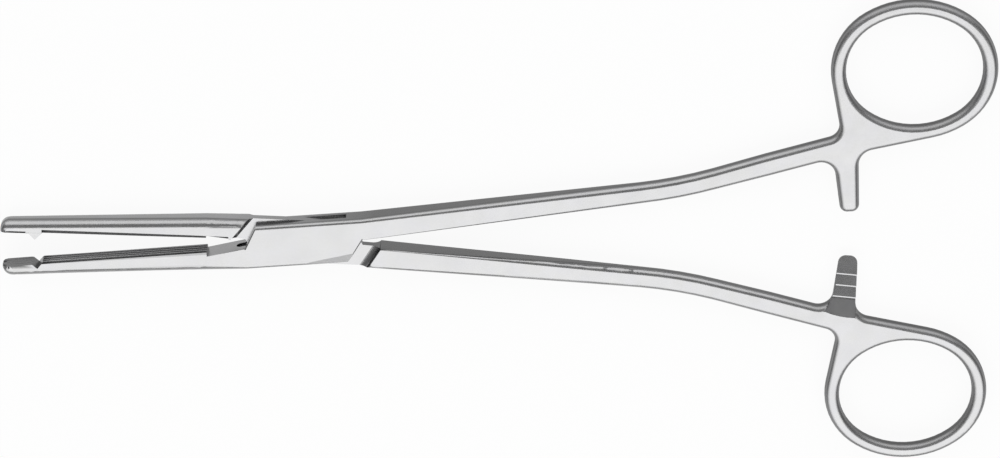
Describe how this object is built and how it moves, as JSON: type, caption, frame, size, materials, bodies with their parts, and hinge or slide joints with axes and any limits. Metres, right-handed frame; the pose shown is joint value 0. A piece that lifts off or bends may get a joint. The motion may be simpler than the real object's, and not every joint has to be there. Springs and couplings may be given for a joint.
{
  "type": "hysterectomy forceps",
  "caption": "Long ring-handled clamping forceps with a box lock, straight lengthwise-grooved jaws with a tooth and notch near the tips, and a toothed ratchet between the rings.",
  "frame": {"origin": "on the pivot axis, where it meets the back face of the lock that lies on a table", "axes": "+X from the jaws towards the rings, +Y across the instrument towards the ring of the box half, +Z out of the front face along the pivot axis"},
  "size_m": [0.2087, 0.105, 0.0053],
  "materials": {
    "steel": "polished with a fine satin grain",
    "pin_steel": "ground flush and polished with the lock"
  },
  "bodies": {
    "box_body": {"box_half": "steel", "pivot_pin": "pin_steel"},
    "tongue_body": {"tongue_half": "steel"}
  },
  "joints": [
    {"name": "lock_pivot", "type": "hinge", "parent": "box_body", "child": "tongue_body", "pos_m": [0, 0, 0], "axis": [0, 0, 1], "range_deg": [-28.3, 6.66]}
  ]
}
